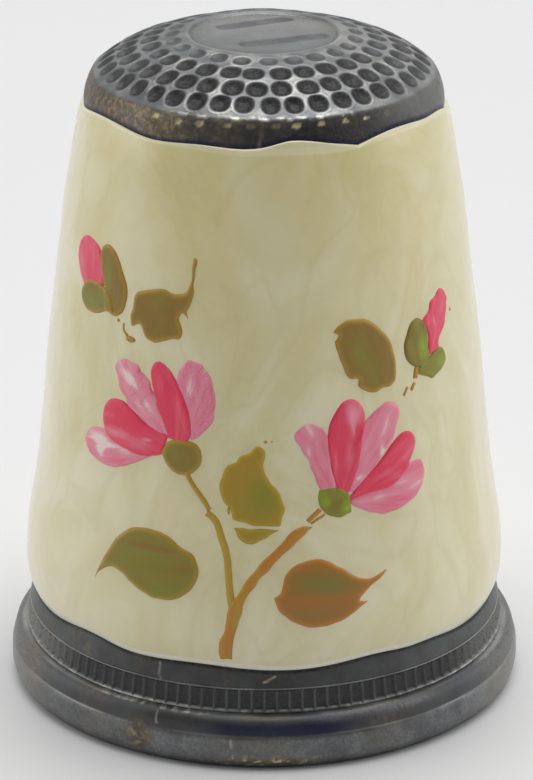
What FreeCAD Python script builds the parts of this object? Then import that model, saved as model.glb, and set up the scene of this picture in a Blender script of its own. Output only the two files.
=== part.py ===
import FreeCAD, Part
import math
import os

# A souvenir thimble: a drawn metal cup, a dimpled metal crown, a sleeve of pearly resin round
# the waist with raised enamel flowers on it, and a metal foot with a milled band.
# It stands on its mouth at z = 0 with its axis on z. The painted side faces -y. Millimetres.

# ------------------------------------------------------------------ driving dimensions

OVERALL_HEIGHT = 26.40
FOOT_RADIUS = 10.20
FOOT_HEIGHT = 2.18          # foot ring, from the table to its ledge
BAND_HEIGHT = 0.96          # milled band, above the foot ring
COLLAR_HEIGHT = 0.76        # plain ring that the sleeve stands on
SLEEVE_TOP = 24.00          # where the crown's skirt meets the sleeve

WALL = 0.40                 # thickness of the drawn cup
MOUTH_LIFT = 0.15           # the cup's edge stays clear of the table
MOUTH_RADIUS = 8.50         # inside the cup's mouth
MOUTH_LAND = 1.85           # height of the cylindrical stretch inside the mouth
CUP_TOP_RADIUS = 6.30       # outside of the cup where its wall turns into its top

FLUTES = 122
FLUTE_WIDTH = 0.32
FLUTE_DEPTH = 0.09
FLUTE_MARGIN = 0.09         # plain edge left above and below the flutes

PAD_RADIUS = 2.82           # flat pad at the very top
PAD_DEPTH = 0.08
PAD_RIM = 0.17              # width of the raised rim round the pad
PAD_SLOPE = 0.04            # how far the rim's inner side leans outwards

PAINT_THICKNESS = 0.06
UNROLL_RADIUS = 8.73        # the paint is laid out on a flat strip rolled at this radius

BAND_BASE = FOOT_HEIGHT
COLLAR_BASE = BAND_BASE + BAND_HEIGHT
SLEEVE_BASE = COLLAR_BASE + COLLAR_HEIGHT
CUP_MOUTH_RADIUS = MOUTH_RADIUS + WALL
CUP_CONE_BASE = MOUTH_LIFT + MOUTH_LAND

# Outlines of turned pieces, as (radius, height) from the bottom up.
SLEEVE_LINE = [(9.26, SLEEVE_BASE), (9.47, 4.5), (9.515, 5.5), (9.19, 8.0), (8.71, 12.0),
               (8.27, 16.0), (7.785, 20.0), (7.40, 22.3), (7.025, SLEEVE_TOP)]
SKIRT_LINE = [(7.025, SLEEVE_TOP), (6.86, 24.4), (6.60, 24.94)]
DOME_LINE = [(6.515, 25.00), (6.27, 25.18), (5.87, 25.47), (5.41, 25.69), (4.455, 26.04),
             (3.48, 26.29), (PAD_RADIUS + PAD_RIM, OVERALL_HEIGHT)]
CUP_TOP_LINE = [(CUP_TOP_RADIUS, SLEEVE_TOP), (6.10, 24.5), (5.55, 24.95), (4.50, 25.36),
                (3.00, 25.62), (0.0, 25.72)]
CUP_CEILING_LINE = [(CUP_TOP_RADIUS - WALL, SLEEVE_TOP - 0.10), (5.68, 24.24), (5.15, 24.60),
                    (4.20, 24.97), (2.80, 25.22), (0.0, 25.32)]
FOOT_LINE = [(9.80, 0.0), (9.97, 0.08), (10.10, 0.24), (FOOT_RADIUS, 0.60), (FOOT_RADIUS, 1.05),
             (10.16, 1.42), (10.11, 1.45)]
SHOULDER_LINE = [(10.11, 1.45), (10.01, 1.86), (9.83, 2.10), (9.64, FOOT_HEIGHT)]
BAND_LINE = [(9.55, BAND_BASE), (9.42, COLLAR_BASE)]
COLLAR_LINE = [(9.38, COLLAR_BASE), (9.24, SLEEVE_BASE)]

# Rows of needle dimples: (row radius, how many, width of a dimple, depth).
DIMPLE_ROWS = [(3.50, 23, 0.66, 0.08), (4.365, 29, 0.80, 0.12),
               (5.25, 35, 0.82, 0.13), (6.01, 41, 0.72, 0.12)]
SLOPE_STEP = 0.05           # reach either side when the dome's slope at a row is taken

# Painted shapes, as (distance to the right round the strip, height). Each shape is a list of
# smooth runs, and where one run ends and the next starts the outline has a corner.
LEFT_PETALS = [
    [[(-3.7, 12.9), (-4.9, 13.35), (-5.9, 14.0), (-6.45, 15.0), (-5.8, 15.5), (-4.9, 15.0),
      (-4.1, 14.0), (-3.4, 12.9)], [(-3.4, 12.9), (-3.7, 12.9)]],
    [[(-3.6, 12.8), (-4.15, 13.9), (-4.65, 15.1), (-4.4, 15.7), (-3.7, 15.3), (-2.9, 14.1),
      (-2.85, 12.8)], [(-2.85, 12.8), (-3.6, 12.8)]],
    [[(-3.1, 12.8), (-3.4, 14.4), (-3.3, 15.5), (-2.8, 16.0), (-2.05, 15.2), (-1.95, 14.0),
      (-2.6, 12.8)], [(-2.6, 12.8), (-3.1, 12.8)]],
    [[(-3.7, 12.9), (-5.0, 13.4), (-6.1, 13.87), (-6.9, 13.3), (-6.65, 12.45), (-5.4, 12.0),
      (-3.9, 12.2)], [(-3.9, 12.2), (-3.7, 12.9)]],
    [[(-4.0, 12.3), (-6.0, 12.4), (-7.75, 12.35), (-7.5, 11.4), (-6.3, 11.15), (-4.8, 11.75),
      (-3.9, 12.2)], [(-3.9, 12.2), (-4.0, 12.3)]],
]
LEFT_CALYX = [
    [[(-4.0, 12.15), (-3.2, 12.83), (-2.4, 12.15)], [(-2.4, 12.15), (-3.2, 11.47), (-4.0, 12.15)]],
]
RIGHT_PETALS = [
    [[(2.3, 10.8), (1.8, 11.9), (1.2, 13.1), (1.8, 13.6), (2.45, 13.1), (2.8, 10.95)],
     [(2.8, 10.95), (2.3, 10.8)]],
    [[(2.6, 10.9), (2.45, 12.4), (2.65, 13.8), (3.45, 14.4), (4.0, 13.6), (3.75, 12.3),
      (3.2, 10.8)], [(3.2, 10.8), (2.6, 10.9)]],
    [[(3.0, 10.8), (3.9, 12.6), (4.2, 13.6), (5.1, 14.0), (5.5, 13.2), (4.9, 12.0), (3.3, 10.6)],
     [(3.3, 10.6), (3.0, 10.8)]],
    [[(3.1, 10.7), (4.3, 11.7), (5.1, 12.4), (5.9, 12.7), (6.3, 12.2), (5.7, 11.2), (4.4, 10.6),
      (3.2, 10.4)], [(3.2, 10.4), (3.1, 10.7)]],
    [[(3.2, 10.6), (4.6, 10.7), (5.8, 11.3), (6.65, 11.1), (6.3, 10.15), (5.2, 9.7), (4.2, 9.8),
      (3.2, 10.3)], [(3.2, 10.3), (3.2, 10.6)]],
]
RIGHT_CALYX = [
    [[(2.0, 10.45), (2.2, 10.95), (2.65, 11.02), (3.15, 10.9), (3.28, 10.4)],
     [(3.28, 10.4), (3.0, 9.98), (2.6, 9.9), (2.15, 10.02), (2.0, 10.45)]],
]
LEFT_BUD_PETAL = [
    [[(-7.6, 17.9), (-7.7, 18.8), (-8.2, 19.5), (-9.2, 19.55), (-9.7, 18.95), (-9.45, 18.1),
      (-8.9, 17.6)], [(-8.9, 17.6), (-7.6, 17.9)]],
]
LEFT_BUD_SEPALS = [
    [[(-7.3, 17.0), (-7.6, 18.1), (-7.85, 19.1), (-7.4, 19.6), (-6.6, 19.0), (-6.2, 18.0),
      (-6.6, 17.05)], [(-6.6, 17.05), (-7.3, 17.0)]],
    [[(-7.1, 17.6), (-8.1, 18.05), (-9.0, 17.7), (-8.8, 16.95), (-7.9, 16.85), (-6.9, 17.1)],
     [(-6.9, 17.1), (-7.1, 17.6)]],
]
RIGHT_BUD_PETAL = [
    [[(7.3, 15.2), (7.4, 16.2), (7.1, 16.7), (7.7, 17.2), (8.55, 17.6), (8.9, 17.0),
      (8.5, 16.0), (8.1, 15.4)], [(8.1, 15.4), (7.3, 15.2)]],
]
RIGHT_BUD_SEPALS = [
    [[(6.5, 15.05), (6.05, 15.7), (6.4, 16.7), (6.9, 16.85), (7.4, 16.2), (7.2, 15.1)],
     [(7.2, 15.1), (6.5, 15.05)]],
    [[(6.6, 14.75), (7.3, 15.2), (8.15, 15.5), (8.5, 14.95), (7.9, 14.5), (7.2, 14.4)],
     [(7.2, 14.4), (6.6, 14.75)]],
]
UPPER_LEFT_LEAF = [
    [[(-5.65, 18.0), (-4.9, 18.4), (-3.9, 18.38), (-3.2, 18.55)],
     [(-3.2, 18.55), (-3.07, 19.8)],
     [(-3.07, 19.8), (-2.93, 19.8)],
     [(-2.93, 19.8), (-2.95, 18.7), (-3.15, 17.5), (-3.5, 16.75), (-4.8, 16.4), (-5.75, 16.9),
      (-5.65, 18.0)]],
]
UPPER_RIGHT_LEAF = [
    [[(2.8, 16.8), (3.5, 17.38), (4.6, 17.15), (5.4, 16.2), (5.57, 15.2), (5.3, 14.6)],
     [(5.3, 14.6), (4.6, 14.5), (3.9, 14.8), (3.3, 15.4), (2.85, 16.3), (2.8, 16.8)]],
]
CENTRE_LEAF = [
    [[(-0.3, 12.8), (0.05, 12.0), (0.7, 10.7), (0.6, 9.7), (-0.3, 9.05), (-1.1, 9.5),
      (-1.6, 11.0), (-1.3, 12.0), (-0.3, 12.8)]],
]
LOWER_LEFT_LEAF = [
    [[(-6.65, 6.65), (-6.1, 8.0), (-5.0, 9.1), (-3.6, 9.0), (-2.5, 8.1), (-2.7, 7.0),
      (-3.7, 6.5), (-4.9, 6.85), (-5.9, 7.3), (-6.65, 6.65)]],
]
LOWER_RIGHT_LEAF = [
    [[(0.4, 6.9), (1.0, 8.0), (2.0, 8.3), (3.1, 7.65), (3.95, 7.32), (4.6, 7.5)],
     [(4.6, 7.5), (4.15, 7.1), (3.5, 6.5)],
     [(3.5, 6.5), (2.7, 5.82), (1.9, 5.67), (1.0, 5.98), (0.4, 6.9)]],
]

# Stems, as the middle line of a brush stroke and half its width.
STEMS = [([(-1.35, 4.4), (-1.1, 5.7), (-0.7, 7.0), (0.1, 8.2), (1.2, 9.3), (2.2, 10.1)], 0.20),
         ([(-1.05, 6.5), (-1.25, 7.8), (-1.7, 9.4), (-2.6, 11.0), (-2.95, 11.7)], 0.13)]


# ------------------------------------------------------------------ turned pieces

def radius_at(line, height):
    """Radius of an outline at a height, by straight interpolation."""
    for (r0, z0), (r1, z1) in zip(line, line[1:]):
        if z0 <= height <= z1:
            return r0 + (r1 - r0) * (height - z0) / (z1 - z0)
    return line[0][0] if height < line[0][1] else line[-1][0]


def height_at(line, radius):
    """Height of an outline that narrows upwards, where it has a radius."""
    for (r0, z0), (r1, z1) in zip(line, line[1:]):
        if r1 <= radius <= r0:
            return z0 + (z1 - z0) * (r0 - radius) / (r0 - r1)
    return line[0][1] if radius > line[0][0] else line[-1][1]


def cup_radius(height):
    """Outside radius of the drawn cup below its top."""
    if height <= CUP_CONE_BASE:
        return CUP_MOUTH_RADIUS
    climb = (height - CUP_CONE_BASE) / (SLEEVE_TOP - CUP_CONE_BASE)
    return CUP_MOUTH_RADIUS + (CUP_TOP_RADIUS - CUP_MOUTH_RADIUS) * climb


def at(radius, height):
    return FreeCAD.Vector(radius, 0, height)


def smooth(points):
    curve = Part.BSplineCurve()
    curve.interpolate([at(r, z) for r, z in points])
    return curve.toShape()


def straight(points):
    return [Part.makeLine(at(*a), at(*b)) for a, b in zip(points, points[1:])]


def turned(edges):
    """Solid of revolution about z from a closed chain of edges in the xz half-plane."""
    wire = Part.Wire(Part.__sortEdges__(edges))
    solid = Part.Face(wire).revolve(FreeCAD.Vector(0, 0, 0), FreeCAD.Vector(0, 0, 1), 360)
    return fixed(solid)


def fixed(shape):
    """The shape's one solid, with its faces turned outwards."""
    solid = shape.Solids[0] if shape.Solids else Part.Solid(shape.Shells[0])
    if solid.Volume < 0:
        solid.reverse()
    return solid


def liner_cup():
    """The drawn cup that holds the finger: straight land, cone and closed top."""
    top = CUP_TOP_LINE
    ceiling = CUP_CEILING_LINE
    outer = [(CUP_MOUTH_RADIUS, MOUTH_LIFT), (CUP_MOUTH_RADIUS, CUP_CONE_BASE), top[0]]
    inner = [ceiling[0], (MOUTH_RADIUS, CUP_CONE_BASE), (MOUTH_RADIUS, MOUTH_LIFT),
             (CUP_MOUTH_RADIUS, MOUTH_LIFT)]
    edges = straight(outer) + [smooth(top)] + straight([top[-1], ceiling[-1]])
    edges += [smooth(ceiling)] + straight(inner)
    return turned(edges)


def crown_cap():
    """The crown: skirt, dimpled dome and the flat pad inside its rim."""
    pad_height = OVERALL_HEIGHT - PAD_DEPTH
    pad = [DOME_LINE[-1], (PAD_RADIUS + PAD_SLOPE, OVERALL_HEIGHT), (PAD_RADIUS, pad_height),
           (0.0, pad_height), CUP_TOP_LINE[-1]]
    edges = [smooth(SKIRT_LINE), smooth(DOME_LINE), smooth(CUP_TOP_LINE)]
    edges += straight([SKIRT_LINE[-1], DOME_LINE[0]]) + straight(pad)
    edges += straight([CUP_TOP_LINE[0], SKIRT_LINE[0]])
    return fixed(turned(edges).cut(dimple_balls()))


def dimple_balls():
    """Every ball that presses a dimple, square to the dome."""
    balls = []
    for row, (row_radius, count, width, depth) in enumerate(DIMPLE_ROWS):
        ball_radius = (width * width / 4 + depth * depth) / (2 * depth)
        inside = height_at(DOME_LINE, row_radius - SLOPE_STEP)
        outside = height_at(DOME_LINE, row_radius + SLOPE_STEP)
        tilt = math.atan((inside - outside) / (2 * SLOPE_STEP))
        reach = ball_radius - depth
        ball_row = row_radius + reach * math.sin(tilt)
        ball_height = height_at(DOME_LINE, row_radius) + reach * math.cos(tilt)
        for index in range(count):
            turn = 2 * math.pi * (index + 0.5 * (row % 2)) / count
            centre = FreeCAD.Vector(ball_row * math.sin(turn), -ball_row * math.cos(turn), ball_height)
            sideways = FreeCAD.Vector(math.cos(turn), math.sin(turn), 0)
            balls.append(Part.makeSphere(ball_radius, centre, sideways))
    return Part.makeCompound(balls)


def ring(outer, base, top):
    """A ring between an outer line and the cup's outside."""
    inner = [(cup_radius(top), top), (cup_radius(base), base)]
    return turned(straight(outer + inner + [outer[0]]))


def foot_ring():
    """The heavy rim, with its rounded shoulder and the flat face that it stands on."""
    inner = [SHOULDER_LINE[-1], (cup_radius(FOOT_HEIGHT), FOOT_HEIGHT),
             (CUP_MOUTH_RADIUS, CUP_CONE_BASE), (CUP_MOUTH_RADIUS, 0.0), FOOT_LINE[0]]
    return turned(straight(FOOT_LINE) + [smooth(SHOULDER_LINE)] + straight(inner))


def milled_band():
    """The band between foot and collar, with upright flutes cut all round."""
    blank = ring(BAND_LINE, BAND_BASE, COLLAR_BASE)
    height = BAND_HEIGHT - 2 * FLUTE_MARGIN
    base = BAND_BASE + FLUTE_MARGIN
    cutters = []
    bottom = radius_at(BAND_LINE, base + height) - FLUTE_DEPTH
    corner = FreeCAD.Vector(-FLUTE_WIDTH / 2, -bottom - WALL, base)
    for index in range(FLUTES):
        cutter = Part.makeBox(FLUTE_WIDTH, WALL, height, corner)
        cutter.rotate(FreeCAD.Vector(0, 0, 0), FreeCAD.Vector(0, 0, 1), 360.0 * index / FLUTES)
        cutters.append(cutter)
    return fixed(blank.cut(Part.makeCompound(cutters)))


def collar_ring():
    return ring(COLLAR_LINE, COLLAR_BASE, SLEEVE_BASE)


def pearl_sleeve():
    """The resin sleeve, bulging over the collar at its foot and tapering to the crown."""
    inner = [SLEEVE_LINE[-1], (cup_radius(SLEEVE_TOP), SLEEVE_TOP),
             (cup_radius(SLEEVE_BASE), SLEEVE_BASE), SLEEVE_LINE[0]]
    return turned([smooth(SLEEVE_LINE)] + straight(inner))


# ------------------------------------------------------------------ paint on the sleeve

def paint_shell():
    """A skin as thick as the paint, all over the outside of the sleeve."""
    raised = [(r + PAINT_THICKNESS, z) for r, z in SLEEVE_LINE]
    ends = straight([SLEEVE_LINE[0], raised[0]]) + straight([SLEEVE_LINE[-1], raised[-1]])
    return turned([smooth(SLEEVE_LINE), smooth(raised)] + ends)


def prism(outline):
    """A painted outline carried from its place on the strip straight in to the axis."""
    points = [point for run in outline for point in run]
    middle = (min(s for s, z in points) + max(s for s, z in points)) / 2 / UNROLL_RADIUS
    along = FreeCAD.Vector(math.cos(middle), math.sin(middle), 0)
    outward = FreeCAD.Vector(math.sin(middle), -math.cos(middle), 0)
    start = FOOT_RADIUS

    def place(s, z):
        across = radius_at(SLEEVE_LINE, z) * math.sin(s / UNROLL_RADIUS - middle)
        return along * across + outward * start + FreeCAD.Vector(0, 0, z)

    edges = []
    for run in outline:
        if len(run) == 2:
            edges.append(Part.makeLine(place(*run[0]), place(*run[1])))
            continue
        curve = Part.BSplineCurve()
        curve.interpolate([place(*point) for point in run])
        edges.append(curve.toShape())
    face = Part.Face(Part.Wire(edges))
    return face.extrude(outward * (CUP_TOP_RADIUS - start))


def stroke(line, half_width):
    """Outline of a brush stroke of even width along a middle line."""
    left, right = [], []
    for index, (s, z) in enumerate(line):
        before = line[max(index - 1, 0)]
        after = line[min(index + 1, len(line) - 1)]
        run = math.hypot(after[0] - before[0], after[1] - before[1])
        across = ((after[1] - before[1]) / run * half_width, (before[0] - after[0]) / run * half_width)
        left.append((s - across[0], z - across[1]))
        right.append((s + across[0], z + across[1]))
    right.reverse()
    return [left, [left[-1], right[0]], right, [right[-1], left[0]]]


def film(shell, outlines, over=()):
    """A film of paint with the given outlines, cut back where other outlines lie over it."""
    block = prism(outlines[0])
    for outline in outlines[1:]:
        block = block.fuse(prism(outline))
    for outline in over:
        block = block.cut(prism(outline))
    return shell.common(block)


def painted_pieces():
    shell = paint_shell()
    stem_outlines = [stroke(line, half_width) for line, half_width in STEMS]
    return {
        "left_flower_petals": film(shell, LEFT_PETALS, LEFT_CALYX),
        "left_flower_calyx": film(shell, LEFT_CALYX),
        "right_flower_petals": film(shell, RIGHT_PETALS, RIGHT_CALYX),
        "right_flower_calyx": film(shell, RIGHT_CALYX),
        "left_bud_petal": film(shell, LEFT_BUD_PETAL, LEFT_BUD_SEPALS),
        "left_bud_sepals": film(shell, LEFT_BUD_SEPALS),
        "right_bud_petal": film(shell, RIGHT_BUD_PETAL, RIGHT_BUD_SEPALS),
        "right_bud_sepals": film(shell, RIGHT_BUD_SEPALS),
        "flower_stems": film(shell, stem_outlines, LEFT_CALYX + RIGHT_CALYX),
        "upper_left_leaf": film(shell, UPPER_LEFT_LEAF),
        "upper_right_leaf": film(shell, UPPER_RIGHT_LEAF),
        "centre_leaf": film(shell, CENTRE_LEAF),
        "lower_left_leaf": film(shell, LOWER_LEFT_LEAF),
        "lower_right_leaf": film(shell, LOWER_RIGHT_LEAF),
    }


# ------------------------------------------------------------------ write the pieces

def write(name, shape):
    box = shape.BoundBox
    print("%-20s solids %2d valid %s volume %9.3f  z %6.2f to %6.2f"
          % (name, len(shape.Solids), shape.isValid(), shape.Volume, box.ZMin, box.ZMax))
    shape.exportStep("parts/%s.step" % name)


os.makedirs("parts", exist_ok=True)
pieces = {
    "liner_cup": liner_cup(),
    "crown_cap": crown_cap(),
    "pearl_sleeve": pearl_sleeve(),
    "foot_ring": foot_ring(),
    "milled_band": milled_band(),
    "collar_ring": collar_ring(),
}
pieces.update(painted_pieces())
for piece_name, piece_shape in pieces.items():
    write(piece_name, piece_shape)
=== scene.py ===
import math

import bpy
import numpy as np
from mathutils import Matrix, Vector
from mathutils.geometry import delaunay_2d_cdt
from numpy.linalg import norm


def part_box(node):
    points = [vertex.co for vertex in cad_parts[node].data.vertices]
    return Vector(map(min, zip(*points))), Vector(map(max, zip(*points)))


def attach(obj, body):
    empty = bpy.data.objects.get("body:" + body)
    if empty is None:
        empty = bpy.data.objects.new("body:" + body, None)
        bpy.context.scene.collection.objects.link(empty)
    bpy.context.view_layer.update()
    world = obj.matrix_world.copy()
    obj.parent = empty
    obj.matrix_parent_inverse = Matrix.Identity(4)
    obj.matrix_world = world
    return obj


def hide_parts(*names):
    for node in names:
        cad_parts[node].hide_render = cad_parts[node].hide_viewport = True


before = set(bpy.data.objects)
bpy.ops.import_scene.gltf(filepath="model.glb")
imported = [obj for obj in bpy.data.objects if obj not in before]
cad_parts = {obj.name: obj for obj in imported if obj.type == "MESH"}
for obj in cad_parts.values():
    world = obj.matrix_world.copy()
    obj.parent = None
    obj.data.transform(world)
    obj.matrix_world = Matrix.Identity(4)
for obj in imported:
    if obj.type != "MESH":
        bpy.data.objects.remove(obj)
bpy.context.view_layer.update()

# The looks of a souvenir thimble: a pearly resin sleeve painted with raised enamel flowers,
# between an oxidised metal crown and foot. Lengths in this script are millimetres until a mesh
# is built, and angles round the thimble are degrees from the painted front, positive to the right.

scene = bpy.context.scene
MM = 0.001


def extent(node):
    """Base height, top height and largest radius of a CAD node."""
    low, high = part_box(node)
    return low[2] / MM, high[2] / MM, high[0] / MM


SLEEVE_BASE, SLEEVE_TOP, SLEEVE_RADIUS = extent("pearl_sleeve")
CROWN_BASE, CROWN_TOP = extent("crown_cap")[:2]
COLLAR_BASE, COLLAR_TOP, COLLAR_RADIUS = extent("collar_ring")
BAND_BASE, BAND_TOP, BAND_RADIUS = extent("milled_band")
FOOT_BASE, FOOT_TOP, FOOT_RADIUS = extent("foot_ring")
CUP_MOUTH_RADIUS = extent("liner_cup")[2]

UNROLL_RADIUS = 8.73        # the paint is laid out on a strip rolled at this radius
SLEEVE_COLUMNS, CROWN_COLUMNS, FOOT_COLUMNS, COLLAR_COLUMNS = 480, 600, 900, 720    # points round each
SEED = 11                   # of every random draw

rng = np.random.default_rng(SEED)


# ---- curves and noise

def spline(points, count):
    """Points along the natural cubic spline through the given ones, evenly spaced by chord."""
    points = np.array(points, float)
    last = len(points) - 1
    knots = np.concatenate([[0.0], np.cumsum(norm(np.diff(points, axis=0), axis=1))])
    gaps = np.diff(knots)[:, None]
    slopes = np.diff(points, axis=0) / gaps
    matrix = np.eye(last + 1)
    right_side = np.zeros_like(points)
    for i in range(1, last):
        matrix[i, i - 1] = gaps[i - 1, 0]
        matrix[i, i] = 2 * (gaps[i - 1, 0] + gaps[i, 0])
        matrix[i, i + 1] = gaps[i, 0]
        right_side[i] = 6 * (slopes[i] - slopes[i - 1])
    bend = np.linalg.solve(matrix, right_side)
    place = np.linspace(0, knots[-1], count)
    i = np.clip(np.searchsorted(knots, place, side="right") - 1, 0, last - 1)
    gap = gaps[i]
    before = (place - knots[i])[:, None]
    after = (knots[i + 1] - place)[:, None]
    curve = (bend[i] * after ** 3 + bend[i + 1] * before ** 3) / (6 * gap)
    curve += (points[i] / gap - bend[i] * gap / 6) * after
    return curve + (points[i + 1] / gap - bend[i + 1] * gap / 6) * before


def ease(low, high, value):
    """0 at low and 1 at high, smooth in between and held beyond."""
    share = np.clip((value - low) / (high - low), 0, 1)
    return share * share * (3 - 2 * share)


def bell(value, middle, width):
    """1 at the middle, fading out smoothly on both sides."""
    return np.exp(-((value - middle) / width) ** 2)


class Ripple:
    """Smooth seeded noise in space, roughly -1 to 1: a sum of plane waves of about one size."""

    def __init__(self, wavelength, waves=14):
        direction = rng.normal(size=(waves, 3))
        direction /= norm(direction, axis=1)[:, None]
        self.waves = direction * (2 * math.pi / wavelength) * rng.uniform(0.6, 1.5, (waves, 1))
        self.shift = rng.uniform(0, 2 * math.pi, waves)

    def __call__(self, points):
        return np.sin(points @ self.waves.T + self.shift).sum(-1) * math.sqrt(2 / len(self.shift)) * 0.6


def near(first, second, start, end, half_width):
    """How far points of a plane lie inside a bar from start to end, 0 to 1."""
    run = np.subtract(end, start)
    first, second = first - start[0], second - start[1]
    along = np.clip((first * run[0] + second * run[1]) / (run @ run), 0, 1)
    gap = np.hypot(first - along * run[0], second - along * run[1])
    return 1 - ease(0.6, 1.2, gap / half_width)


def around(columns):
    """Evenly spaced angles in radians, from the back round past the front to the back again."""
    return np.linspace(-math.pi, math.pi, columns, endpoint=False)


def on_axis(angle, radius, height):
    """Points in space from an angle in radians, a radius and a height."""
    angle, radius, height = np.broadcast_arrays(angle, radius, height)
    return np.stack([radius * np.sin(angle), -radius * np.cos(angle), height], -1)


def turned(rows, columns):
    """Angle, radius, height and place of each point of a turned surface, from its profile's rows."""
    angle = around(columns)
    radius = rows[:, :1] + 0 * angle
    height = rows[:, 1:] + 0 * angle
    return angle, radius, height, on_axis(angle, radius, height)


# ---- meshes

def build(name, points, faces, material, traits=None):
    """A smooth-shaded object from points in millimetres, with one named number or vector per point."""
    mesh = bpy.data.meshes.new(name)
    mesh.from_pydata((np.asarray(points) * MM).tolist(), [], faces)
    mesh.validate()
    for trait, values in (traits or {}).items():
        values = np.asarray(values, np.float32)
        kind = "FLOAT" if values.ndim == 1 else "FLOAT_VECTOR"
        attribute = mesh.attributes.new(trait, kind, "POINT")
        attribute.data.foreach_set("value" if kind == "FLOAT" else "vector", values.ravel())
    mesh.shade_smooth()
    mesh.materials.append(material)
    piece = bpy.data.objects.new(name, mesh)
    scene.collection.objects.link(piece)
    return piece


def lathe(name, radius, height, material, traits):
    """A closed solid of revolution. Rows run along the profile, columns run round the axis.

    A profile that ends on the axis at both ends is closed by its end points. Any other is
    closed by joining its last row to its first.
    """
    rows, columns = radius.shape
    points = on_axis(around(columns), radius, height).reshape(-1, 3)
    capped = radius[0].max() < 1e-6
    index = np.arange(rows * columns).reshape(rows, columns)
    if capped:
        index[0] = index[0, 0]
        index[-1] = index[-1, 0]
    following = np.roll(index, -1, axis=1)
    faces = []
    for row in range(rows - 1 if capped else rows):
        above = (row + 1) % rows
        for quad in np.stack([index[row], following[row], following[above], index[above]], -1).tolist():
            faces.append([corner for i, corner in enumerate(quad) if corner != quad[i - 1]])
    traits = {key: np.broadcast_to(value, radius.shape).ravel() for key, value in traits.items()}
    if capped:
        keep = np.unique(index)
        renumber = np.zeros(rows * columns, int)
        renumber[keep] = np.arange(len(keep))
        points = points[keep]
        faces = [[int(renumber[corner]) for corner in face] for face in faces]
        traits = {key: value[keep] for key, value in traits.items()}
    return build(name, points, faces, material, traits)


def finished(piece, node):
    """Every piece of a thimble rides on its one body."""
    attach(piece, "root")
    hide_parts(node)


def plated(name, node, radius, height, **traits):
    """A turned piece of oxidised metal. A trait that isn't given is 0 all over."""
    traits = {key: np.clip(traits.get(key, 0.0), 0, 1) for key in ("pit", "wear", "stain", "blue", "gilt")}
    finished(lathe(name, radius, height, SILVER, traits), node)


# ---- materials

def srgb(red, green, blue):
    """A linear colour from the 0 to 255 values of a colour picker."""
    def linear(value):
        value /= 255
        return value / 12.92 if value <= 0.04045 else ((value + 0.055) / 1.055) ** 2.4
    return (linear(red), linear(green), linear(blue), 1.0)


class Look:
    """A principled material, with short calls that add and join its nodes."""

    def __init__(self, name, **constants):
        self.material = bpy.data.materials.new(name)
        self.material.use_nodes = True
        self.tree = self.material.node_tree
        self.shader = self.tree.nodes["Principled BSDF"]
        for socket, value in constants.items():
            self.shader.inputs[socket.replace("_", " ")].default_value = value
        self.place = self.add("ShaderNodeTexCoord").outputs["Object"]

    def add(self, kind, values=(), **settings):
        """A new node. The values are for its sockets, by name or number."""
        node = self.tree.nodes.new(kind)
        for key, value in settings.items():
            setattr(node, key, value)
        for key, value in dict(values).items():
            self.feed(node.inputs[key], value)
        return node

    def feed(self, socket, value):
        """Joins an output to a socket, or sets the socket to a plain value."""
        if isinstance(value, bpy.types.NodeSocket):
            self.tree.links.new(value, socket)
        else:
            socket.default_value = value

    def sum(self, operation, *values):
        return self.add("ShaderNodeMath", enumerate(values), operation=operation).outputs[0]

    def trait(self, name, output="Fac"):
        """A number or vector that the mesh carries at each point."""
        return self.add("ShaderNodeAttribute", attribute_name=name).outputs[output]

    def stretched(self, vector, scale, turn=(0.0, 0.0, 0.0)):
        values = {"Vector": vector, "Scale": scale, "Rotation": turn}
        return self.add("ShaderNodeMapping", values).outputs[0]

    def noise(self, scale, detail=3.0, roughness=0.5, distortion=0.0, vector=None):
        """Soft noise. The scale is in features per millimetre when no vector is given."""
        values = {"Vector": vector or self.place, "Scale": scale if vector else scale / MM,
                  "Detail": detail, "Roughness": roughness, "Distortion": distortion}
        return self.add("ShaderNodeTexNoise", values).outputs["Fac"]

    def warped(self, scale, amount):
        """The place in metres, pushed about by soft noise by up to about an amount in millimetres."""
        push = self.add("ShaderNodeTexNoise", {"Vector": self.place, "Scale": scale / MM}).outputs["Color"]
        values = enumerate((push, [amount * MM] * 3, self.place))
        return self.add("ShaderNodeVectorMath", values, operation="MULTIPLY_ADD").outputs[0]

    def cracks(self, scale, place):
        """Distance to the nearest border of a random cell pattern, at a scale in cells per millimetre."""
        values = {"Vector": place, "Scale": scale / MM}
        return self.add("ShaderNodeTexVoronoi", values, feature="DISTANCE_TO_EDGE").outputs["Distance"]

    def between(self, value, low, high, out_low=0.0, out_high=1.0):
        """Maps low..high to out_low..out_high, smoothly and with the ends held."""
        values = enumerate((value, low, high, out_low, out_high))
        return self.add("ShaderNodeMapRange", values, interpolation_type="SMOOTHSTEP").outputs[0]

    def mix(self, share, first, second):
        return self.add("ShaderNodeMix", {0: share, 6: first, 7: second}, data_type="RGBA").outputs[2]

    def cover(self, under, colour, *mapping):
        """Lays a colour (0 to 255) over another one, by a share that is mapped as in between."""
        return self.mix(self.between(*mapping), under, srgb(*colour))

    def bump(self, height, distance, strength=1.0, under=None):
        """Bump from a height of 0 to 1 that stands for a distance in millimetres."""
        values = {"Strength": strength, "Distance": distance * MM, "Height": height}
        if under:
            values["Normal"] = under
        return self.add("ShaderNodeBump", values).outputs[0]

    def done(self, colour, roughness, normal=None):
        self.feed(self.shader.inputs["Base Color"], colour)
        self.feed(self.shader.inputs["Roughness"], roughness)
        if normal:
            self.feed(self.shader.inputs["Normal"], normal)
        return self.material


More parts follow.
